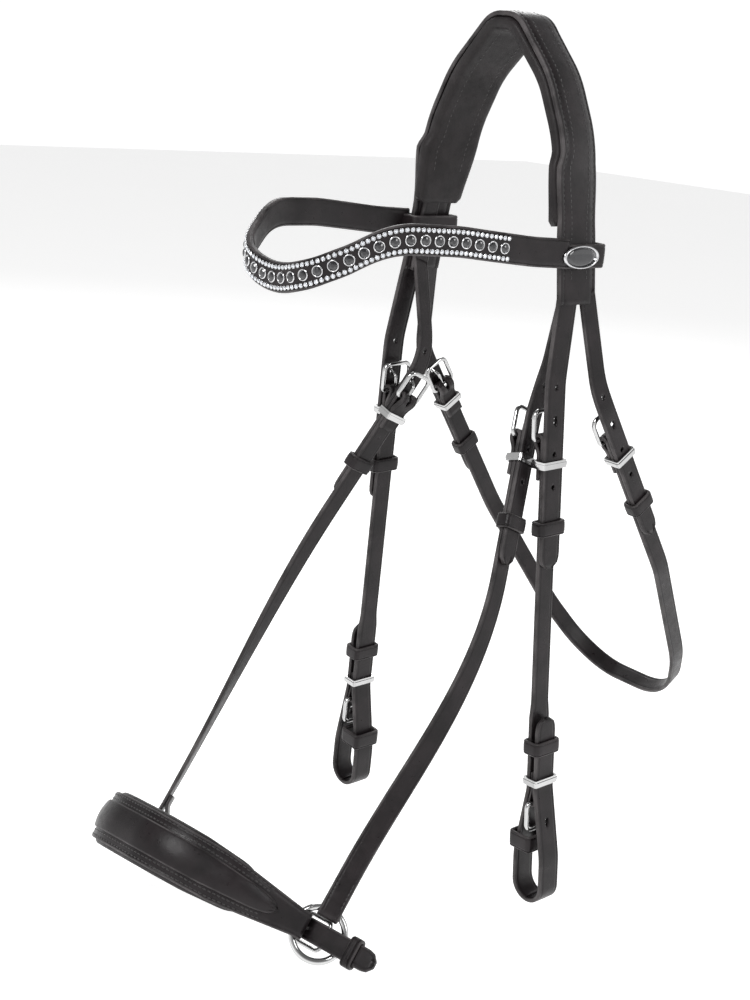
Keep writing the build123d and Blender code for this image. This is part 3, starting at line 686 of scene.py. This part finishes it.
def pad_section(half, thick, swell, rib=0.0, lip=0.0):
    """A cushion's section: edges that swell, and a lip that closes on the leather outside it."""
    rows = []
    count = 14
    for face in (1, -1):
        for i in range(count + 1):
            angle = math.pi * i / count
            v = -math.cos(angle) * half
            u = abs(v) / half
            h = thick / 2 * (1 - u ** 5) ** 0.5 + 0.02
            h += swell * math.exp(-((u - 0.86) * half / 2.2) ** 2) * (1 - u ** 8)
            h -= rib * math.exp(-((u - 0.52) * half / 0.9) ** 2)
            h += lip * min(1.0, max(0.0, (abs(v) - SLIM_HALF - 4.5) / 2.5)) if face == 1 else 0.0
            if 0 < i < count or face == 1:
                rows.append((v * face, h * face, 0))
    return np.array(rows)


def head_padding():
    """The cushion under the headpiece: cut away behind the ears, swollen at its edges."""
    track = cut_back(arch_track(CROWN + LEATHER + 2 * SEAM + CUSHION / 2, end=(66, -105)))
    z = track.p[:, 2]
    half = head_half(track) + np.interp(z, [-104, -74, -30, 0], [2.4, 0.8, 0.8, 2.2])
    ends = tips(track, 1.0, start=True, end=True, length=4, blunt=0.86)

    def shape(k, s):
        return pad_section(half[k] * ends[k], CUSHION * min(1.0, 0.35 + ends[k] * 0.65), 0.9, 0.25, 2.9)

    piece = loft("head_cushion", track, shape, materials=[SOFT, SOFT])
    finish_piece(piece, ROOT, "padding_leather", "head_padding")
    sew(track, lambda s: np.interp(s, track.s, half) * 0.52, -CUSHION / 2 + 0.15, 20, track.s[-1] - 20, 3.4)


# ---------------------------------------------------------------- browband
def brow_height(x, y):
    """The height of the browband's middle line: by its side view, then by its front view."""
    side = rounded(BROW_SIDE, BROW_SIDE_RADII)[::-1]
    half = BROW_FRONT_HALF
    front = rounded(half + [(0, BROW_DIP_Z)] + [(-a, z) for a, z in half[::-1]], BROW_FRONT_RADII)[::-1]
    return np.where(y > BROW_TURN_Y, np.interp(y, *side.T), np.interp(x, *front.T))


def brow_track():
    """The browband from the near loop round the brow to the off loop."""
    path = rounded(BROW_HALF + [(-x, y) for x, y in BROW_HALF[::-1]], BROW_RADII, step=2.2)
    height = np.convolve(np.pad(brow_height(*path.T), 2, mode="edge"), np.ones(5) / 5, mode="valid")
    return Track(np.c_[path, height], (0, 0, -1))


def rectangle(width, height, radius, count=6):
    """A rounded rectangle, anticlockwise."""
    path = []
    for corner in range(4):
        sx, sy = ((1, 1), (-1, 1), (-1, -1), (1, -1))[corner]
        for i in range(count + 1):
            a = math.pi / 2 * (corner + i / count)
            path.append((sx * (width / 2 - radius) + radius * math.cos(a),
                         sy * (height / 2 - radius) + radius * math.sin(a)))
    full = []
    for i, point in enumerate(path):
        after = np.array(path[(i + 1) % len(path)])
        gap = np.linalg.norm(after - point)
        steps = max(1, math.ceil(gap / 3.0))
        full += [np.array(point) + (after - point) * k / steps for k in range(steps)]
    return np.array(full)


def browband():
    """The crowned band and its two end loops."""
    track = brow_track()
    band = strap("band", track, 8.5, BROW_THICKNESS, crown=0.5, inset=1.6, edge=1.5)
    pieces = [band]
    for side in (1, -1):
        path = rectangle(LOOP_INNER[0] + LOOP_WALL, LOOP_INNER[1] + LOOP_WALL, 3.0)
        loop = Track(np.c_[path[:, 0] + side * LOOP_X, path[:, 1], np.full(len(path), BROW_Z)], (0, 0, 1), True)
        pieces.append(strap("end_loop", loop, LOOP_TALL / 2, LOOP_WALL, crown=0.3, inset=1.9))
    finish_piece(join("browband_leather", pieces), ROOT, "black_leather", "browband")
    return track


def browband_trim(track):
    """Round black stones in bezels, between two rows of set crystals."""
    top = BROW_THICKNESS / 2 + 0.45
    stones = Scatter(*rings_template([(2.5, -0.4), (2.5, 0.75), (1.9, 1.4), (1.0, 1.75)], 10))
    bezels = Scatter(*ring_template([(2.5, -0.4), (3.3, -0.4), (3.3, 0.5), (3.05, 0.85), (2.6, 0.9)], 28))
    gems = Scatter(*rings_template([(0.95, -0.2), (1.02, 0.62), (0.64, 1.1)], 8))
    cups = Scatter(*ring_template([(1.0, -0.35), (1.32, -0.35), (1.34, 0.6), (1.18, 0.76), (1.03, 0.66)], 12))
    middle = track.s[-1] / 2
    for i in range(STONE_COUNT):
        s = middle + (i - (STONE_COUNT - 1) / 2) * STONE_PITCH
        along, across, out = track.ways(s)
        for kind in (stones, bezels):
            kind.put(track.at(s, 0, top), along, np.cross(out, along), out)
    reach = STONE_PITCH * STONE_COUNT / 2
    count = int(2 * reach / CRYSTAL_PITCH)
    for i in range(count):
        s = middle + (i - (count - 1) / 2) * CRYSTAL_PITCH
        along, across, out = track.ways(s)
        for offset in (CRYSTAL_OFFSET, -CRYSTAL_OFFSET):
            turn = math.radians(22.5 * (i % 3))
            x = along * math.cos(turn) + np.cross(out, along) * math.sin(turn)
            for kind in (gems, cups):
                kind.put(track.at(s, offset, top - 0.2), x, np.cross(out, x), out)
    finish_piece(stones.build("stones", STONE), ROOT, "black_stone", "browband_stones")
    finish_piece(gems.build("crystals", CRYSTAL), ROOT, "crystal", "browband_chains")
    finish_piece(bezels.build("stone_bezels", SILVER, smooth=True), ROOT, "badge_metal")
    finish_piece(cups.build("crystal_cups", SILVER, smooth=True), ROOT, "badge_metal")


def ring_template(profile, sides):
    """A turned ring about +Z whose section closes on itself."""
    verts, _ = rings_template(profile, sides, close=False)
    faces = []
    for row in range(len(profile)):
        other = (row + 1) % len(profile)
        for k in range(sides):
            j = (k + 1) % sides
            faces.append((row * sides + k, row * sides + j, other * sides + j, other * sides + k))
    return verts, faces


def loop_badge():
    """A plain oval badge: a polished rim round a black enamel plate, with no mark on it."""
    seat = np.array((LOOP_X + LOOP_INNER[0] / 2 + LOOP_WALL + 0.6, -4.2, BROW_Z))
    ways = (np.array((0, 1, 0)) * 14.5, np.array((0, 0, 1)) * 6.8, np.array((1, 0, 0)))
    rim = Scatter(*ring_template([(0.84, 0), (1.0, 0), (1.0, 1.0), (0.96, 1.6), (0.9, 1.75), (0.85, 1.3)], 48))
    plate = Scatter(*rings_template([(0.86, 0), (0.86, 0.9), (0.6, 1.15), (0.25, 1.3), (0.04, 1.32)], 48))
    rim.put(seat, *ways)
    plate.put(seat, *ways)
    finish_piece(rim.build("badge_rim", SILVER, smooth=True), ROOT, "badge_metal", "loop_badge")
    finish_piece(plate.build("badge_plate", STONE, smooth=True), ROOT, "black_stone")


# ---------------------------------------------------------------- cheekpieces
def cheek_strap(side, flip):
    """From the top fold down, round the bit and back up to its tip."""
    bar = BIT_Z
    points, radii = fold()
    bottom = bar - BIT_DROP
    points += [(0, bar + 9), (BIT_INNER, bar - 36), (BIT_INNER, bottom), (BIT_OUTER, bottom),
               (BIT_OUTER, bar - 36), (BIT_OUT, bar + 9), (BIT_OUT, bar + 56)]
    track = local_track(CHEEK, rounded(points, radii + [20, 60, 11.2, 11.2, 60, 20]))
    z = CHEEK.back(track.p)[:, 2]
    half = np.interp(z, [bar + 56, bar + 66], [CHEEK_HALF, 6.8]) * tips(track, 1.0, end=True)
    piece = strap("cheek", track, half, LEATHER, flip=flip, crown=0.12, back=0.12)
    pegs = [peg(CHEEK, BAR_X, 1.2, 1.75, flip=flip, oblong=2.7),
            peg(CHEEK, 10, bar - TONGUE_HOLE_Z, 1.75, flip=flip, oblong=1.8)]
    finish_piece(punch(piece, pegs), ROOT, "black_leather", f"cheek_strap_{side}")
    piece.name = f"cheek_leather_{side}"


def bit_chape(side, flip):
    """The thin chape between the layers at the bit end."""
    bar = BIT_Z
    reach = WIRE + 0.2 + SKIVED / 2
    inner, outer = BIT_BAR_X - SKIVED / 2 - 0.1, BIT_BAR_X + SKIVED / 2 + 0.1
    low, high = BIT_BAR_X - reach, BIT_BAR_X + reach
    points = [(inner, bar + 20), (inner, bar + 7.5), (low, bar + 1.5), (low, bar - reach),
              (high, bar - reach), (high, bar + 1.5), (outer, bar + 7.5), (outer, bar + 20)]
    radii = [5, 5, reach - 0.05, reach - 0.05, 5, 5]
    track = local_track(CHEEK, rounded(points, radii, step=1.5))
    piece = strap("chape", track, 6.8, SKIVED, flip=flip, groove=0.1, edge=0.5)
    punch(piece, [peg(CHEEK, BIT_BAR_X, bar - 1.2, 1.75, flip=flip, oblong=2.7)])
    finish_piece(piece, ROOT, "black_leather", f"bit_chape_{side}")
    piece.name = f"bit_chape_leather_{side}"


def keeper(name, local, half, low, high, z, tall, body, node, flip, thick=THIN):
    """A leather keeper: a creased loop round the straps between low and high."""
    path = rectangle(high - low + 2 * RUN + thick, 2 * (half + RUN) + thick, 1.9)
    points = np.c_[path[:, 0] + (low + high) / 2, path[:, 1], np.full(len(path), z)]
    track = Track(local.out(points), local.turn((0, 0, 1)), True)
    piece = strap(name, track, tall / 2, thick, flip=flip, crown=0.18, inset=1.35, groove=0.28)
    finish_piece(piece, body, "black_leather", node)


def keepers(side, flip):
    """Every leather keeper on one side."""
    for kind, local, half in (("cheek", CHEEK, CHEEK_HALF), ("noseband", NOSE, SLIM_HALF), ("throat", THROAT, SLIM_HALF)):
        node = f"{kind}_leather_keeper_{side}"
        keeper(f"{kind}_keeper_{side}", local, half, -LEATHER / 2, BILLET_X + LEATHER / 2, LOOP_Z, 9, node, node, flip)
    node = f"bit_leather_keeper_{side}"
    keeper(f"bit_keeper_{side}", CHEEK, CHEEK_HALF, -LEATHER / 2, BIT_OUT + LEATHER / 2, BIT_Z + 37, 9, node, node, flip)
    node = f"bit_runner_{side}"
    keeper(f"bit_loop_runner_{side}", CHEEK, CHEEK_HALF, -10.6, 2.6, BIT_Z - 28, 11, ROOT, node, flip)


# ---------------------------------------------------------------- throatlatch
def throatlatch():
    """One strap from buckle to buckle."""
    points, radii = fold()
    middle = -THROAT.origin[0]
    points += [(0, -110), (-17, -205), (-33, -241), (middle + 22.5, -259), (middle, -259)]
    near = local_track(THROAT, rounded(points, radii + [90, 100, 60, 38]))
    whole = Track(np.concatenate([near.p, (near.p * (-1, 1, 1))[-2::-1]]),
                  np.concatenate([near.a, (near.a * (-1, 1, 1))[-2::-1]]))
    piece = strap("throatlatch_leather", whole, SLIM_HALF, LEATHER, crown=0.12)
    pegs = [peg(THROAT, BAR_X, 1.2, 1.75, flip=flip, oblong=2.7) for _, flip in SIDES]
    finish_piece(punch(piece, pegs), ROOT, "black_leather", "throatlatch")


# ---------------------------------------------------------------- noseband
def wrap(pin, along, face, pin_radius, sag, thickness, tail):
    """A strap end folded round a pin, from its hidden end to the outer run."""
    reach = pin_radius + RUN + thickness / 2
    lap = reach - thickness - SEAM
    points = [pin + along * tail + face * lap, pin + along * (reach + 8) + face * lap,
              pin + along * 3.2 - face * reach, pin - along * (reach + sag) - face * reach,
              pin - along * (reach + sag) + face * reach]
    return [tuple(p) for p in points], [8, 8, reach - 0.4, reach - 0.4]


def noseband_strap(side, flip):
    """From the top fold down to the ring, turning to face as the ring does."""
    mirror = np.array((-1, 1, 1) if flip else (1, 1, 1))
    turn = -1 if flip else 1
    ring_top = RIM.out((turn * RING_X, 0, RING_RADIUS)) * mirror
    outward = RIM.turn((turn * RING_FACE[0], RING_FACE[1], 0)) * mirror
    up = RIM.turn((0, 0, 1)) * mirror
    tab = Local(ring_top, outward, np.cross(up, outward), up)
    points, radii = fold()
    upper = local_track(NOSE, rounded(points + [(0, -86)], radii))
    reach = RING_WIRE + RUN + THIN / 2
    lap = reach - THIN - SEAM
    loop = [(reach, 17), (reach, -(reach + 1.5)), (-reach, -(reach + 1.5)), (-reach, 2), (lap, reach + 7), (lap, 17)]
    lower = local_track(tab, rounded(loop, [reach - 0.05, reach - 0.05, 8, 8], step=1.5))
    track = joined(upper, bridge(upper, lower), lower)
    total = track.s[-1]
    thick = np.interp(track.s, [0, total - 60, total - 45, total], [LEATHER, LEATHER, THIN, THIN])
    piece = loft("nose_strap", track, lambda k, s: section(SLIM_HALF, thick[k], crown=0.12, back=0.12), flip=flip)
    punch(piece, [peg(NOSE, BAR_X, 1.2, 1.75, flip=flip, oblong=2.7)])
    sew(track, SLIM_HALF - 2.0, LEATHER / 2 - 0.35, total - 50, total - 34, 2.6, flip)
    finish_piece(piece, ROOT, "black_leather", f"noseband_strap_{side}")
    piece.name = f"noseband_leather_{side}"


def nose_track(height=0.0, front=None):
    """The nosepiece from ring to ring, moved out by height; front keeps only what lies forward of it."""
    pin = np.array((RING_X, 0)) + RING_IN * RING_RADIUS
    start, radii = wrap(pin, RING_IN, RING_FACE, RING_WIRE, 2.4, LEATHER, 24)
    if front is not None:
        start, radii = start[-1:], []
    half = start + NOSE_CURVE
    path = rounded(half + [(-x, y) for x, y in half[::-1]], radii + NOSE_RADII + NOSE_RADII[::-1] + radii[::-1])
    if front is not None:
        path = path[path[:, 1] < front]
    base = Track(RIM.out(np.c_[path, np.zeros(len(path))]), RIM.turn((0, 0, -1)))
    return Track(base.p + base.n * height, base.a)


def forward(track):
    """How far forward of the rings each sample of a nosepiece layer lies."""
    return -RIM.back(track.p)[:, 1]


def nosepiece():
    """Outer leather folded round the rings, a crowned panel sewn on it, and a padded lining."""
    outer = nose_track()
    half = np.interp(forward(outer), [14, 60, 110], [8.2, 14.5, 15.5])
    piece = loft("nosepiece_leather", outer, lambda k, s: section(half[k], LEATHER, crown=0.15, groove=0.3))
    finish_piece(piece, ROOT, "black_leather", "nosepiece")

    panel = nose_track(LEATHER / 2 + 0.6, front=-27)
    wide = np.interp(forward(panel), [22, 68, 110], [4.5, 8.5, 9.5]) * tips(panel, 1.0, True, True, 16, 0.3)
    piece = loft("nosepiece_crown", panel, lambda k, s: section(wide[k], 1.6, crown=1.5, groove=0.0, inset=1.5, edge=0.7))
    finish_piece(piece, ROOT, "black_leather", "nosepiece_panel")
    face = nose_track(LEATHER / 2, front=-27)
    sew(face, lambda s: np.interp(s, panel.s, wide) + 1.5, 0.12, 8, face.s[-1] - 8, 2.9)

    lining = nose_track(-(LEATHER / 2 + SEAM + CUSHION / 2), front=-40)
    puff = np.interp(forward(lining), [22, 68, 110], [11.5, 16.5, 17.5])
    ends = tips(lining, 1.0, True, True, 14, 0.55)
    piece = loft("nosepiece_lining", lining, lambda k, s: pad_section(puff[k] * ends[k], CUSHION, 1.1), [SOFT, SOFT])
    finish_piece(piece, ROOT, "padding_leather", "nosepiece_padding")
    sew(face, lambda s: np.interp(s, face.s, np.interp(forward(face), [14, 60, 110], [8.2, 14.5, 15.5])) - 1.9,
        0.0, 6, face.s[-1] - 6, 2.9)


def chin_strap():
    """Folded round the off ring, behind the nosepiece, out through its buckle to a tip."""
    pin = np.array((-RING_X, 0)) + np.array((RING_IN[0], -RING_IN[1])) * RING_RADIUS
    tip = RIM.back(CHIN.out((BILLET_X, 0, CHIN_WIRE_Z - CHIN_TIP)))[:2]
    lie = RIM.axes @ CHIN.axes[2]
    corner = np.array((CHIN_CORNER_X, tip[1] + (CHIN_CORNER_X - tip[0]) * lie[1] / lie[0]))
    reach = CHIN_FOLD + RUN + LEATHER / 2
    toward = corner - pin
    lean = math.asin(reach / np.linalg.norm(toward))
    aim = math.atan2(toward[1], toward[0]) + lean
    along = np.array((math.cos(aim), math.sin(aim)))
    start, radii = wrap(pin, along, np.array((along[1], -along[0])), CHIN_FOLD, 0.4, LEATHER, 24)
    path = rounded(start + [tuple(corner), tuple(tip)], radii + [90])
    track = Track(RIM.out(np.c_[path, np.zeros(len(path))]), RIM.turn((0, 0, -1)))
    piece = strap("chin_leather", track, tips(track, SLIM_HALF, end=True, length=8), LEATHER, crown=0.12, back=0.12)
    punch(piece, [peg(CHIN, BILLET_X, TONGUE_HOLE_Z, 1.75, oblong=1.8, depth=4)])
    finish_piece(piece, ROOT, "black_leather", "chin_strap")


def chin_chape():
    """The closed loop that ties the chin buckle to the near ring."""
    radius = RING_WIRE + RUN + 0.15 + 0.9
    path = []
    for start, z in ((0, 0.0), (math.pi, CHIN_WIRE_Z)):
        for k in range(13):
            a = start + math.pi * k / 12
            path.append((BAR_X + radius * math.cos(a), 0, z + radius * math.sin(a)))
    track = Track(CHIN.out(path), CHIN.turn((0, 1, 0)), True)
    piece = strap("chin_chape_leather", track, 4.6, 1.8, groove=0.12, edge=0.6)
    punch(piece, [peg(CHIN, BAR_X, 2.4, 1.75, oblong=2.7)])
    finish_piece(piece, ROOT, "black_leather", "chin_chape")


# ---------------------------------------------------------------- metal carried over from the CAD model
def metalwork():
    """Buckles, tongues, keepers, rings and rivets keep their CAD shapes and are polished."""
    for name, node in frame["nodes"].items():
        if "metal_keeper" in name or "ring_" in name or name.endswith("rivets") or "buckle" in name or "tongue" in name:
            node.data.materials.clear()
            node.data.materials.append(STEEL)


# ---------------------------------------------------------------- stage, lights and camera
CAMERA_AT = (686.6, -668.3, -20.3)
CAMERA_AZIMUTH = 49.47
CAMERA_ELEVATION = 15.96
CAMERA_ROLL = 4.82
CAMERA_LENS = 55.8


def camera():
    """The camera, from the near side and in front, a little above the browband."""
    az, el, roll = (math.radians(a) for a in (CAMERA_AZIMUTH, CAMERA_ELEVATION, CAMERA_ROLL))
    back = np.array((math.sin(az) * math.cos(el), -math.cos(az) * math.cos(el), math.sin(el)))
    level = np.array((math.cos(az), math.sin(az), 0))
    up = np.cross(back, level)
    right = level * math.cos(roll) + up * math.sin(roll)
    data = bpy.data.cameras.new("camera")
    data.lens = CAMERA_LENS
    eye = bpy.data.objects.new("camera", data)
    bpy.context.scene.collection.objects.link(eye)
    place(eye, np.array(CAMERA_AT) * MM, right, np.cross(back, right), back)
    bpy.context.scene.camera = eye


def place(thing, at, x, y, z):
    """Puts an object at a point with its axes along x, y and z."""
    thing.matrix_world = Matrix([[*row, p] for row, p in zip(np.array([x, y, z]).T.tolist(), at)] + [[0, 0, 0, 1]])


def softbox(name, at, aim, size, power):
    """A square area light that faces a point."""
    data = bpy.data.lights.new(name, "AREA")
    data.size = size
    data.energy = power
    light = bpy.data.objects.new(name, data)
    bpy.context.scene.collection.objects.link(light)
    back = unit(np.array(at, float) - np.array(aim, float))
    right = unit(np.cross((0, 0, 1), back))
    place(light, at, right, np.cross(back, right), back)


def surround():
    """A studio that is white round the horizon and darker overhead."""
    world = bpy.data.worlds.new("studio")
    world.use_nodes = True
    tree = world.node_tree
    where = tree.nodes.new("ShaderNodeTexCoord")
    parts = tree.nodes.new("ShaderNodeSeparateXYZ")
    fade = tree.nodes.new("ShaderNodeMapRange")
    tree.links.new(where.outputs["Generated"], parts.inputs["Vector"])
    tree.links.new(parts.outputs["Z"], fade.inputs["Value"])
    for key, number in (("From Min", 0.12), ("From Max", 0.6), ("To Min", 1.05), ("To Max", 0.22)):
        fade.inputs[key].default_value = number
    tree.links.new(fade.outputs["Result"], tree.nodes["Background"].inputs["Strength"])
    tree.nodes["Background"].inputs["Color"].default_value = (1, 1, 1, 1)
    return world


def stage():
    """A pale floor under the bridle, soft studio lights, and a white surround."""
    low = cad_box[0][2] - 0.01
    size = 6.0
    mesh = bpy.data.meshes.new("floor")
    corners = [(-size, -size, low), (size, -size, low), (size, size, low), (-size, size, low)]
    mesh.from_pydata(corners, [], [(0, 1, 2, 3)])
    floor = bpy.data.objects.new("floor", mesh)
    bpy.context.scene.collection.objects.link(floor)
    pale = Nodes("floor_paint")
    pale.drive("Base Color", pale.mix(pale.noise(3, 2), (0.9, 0.9, 0.9), (0.93, 0.93, 0.93)))
    mesh.materials.append(pale.fixed(Roughness=0.9, Specular_IOR_Level=0.1,
                                     Emission_Color=(1, 1, 1, 1), Emission_Strength=0.55))
    middle = [(a + b) / 2 for a, b in zip(*cad_box)]
    softbox("key", (0.5, -1.5, 1.3), middle, 0.8, 30)
    softbox("side", (1.7, 0.6, 0.7), middle, 0.7, 8)
    softbox("rear", (-1.3, 0.9, 0.9), middle, 1.0, 14)
    bpy.context.scene.view_settings.view_transform = "Standard"
    bpy.context.scene.world = surround()


# ---------------------------------------------------------------- build
camera()
stage()
metalwork()
headpiece()
noseband_headstrap()
head_padding()
browband_trim(browband())
loop_badge()
for side, flip in SIDES:
    cheek_strap(side, flip)
    bit_chape(side, flip)
    keepers(side, flip)
    noseband_strap(side, flip)
throatlatch()
nosepiece()
chin_strap()
chin_chape()
keeper("chin_keeper", CHIN, SLIM_HALF, BILLET_X - LEATHER / 2, BILLET_X + LEATHER / 2, -22.5, 7,
       "chin_leather_keeper", "chin_leather_keeper", False)
finish_piece(STITCHES.build("stitching", THREAD, smooth=True), ROOT, "black_leather")
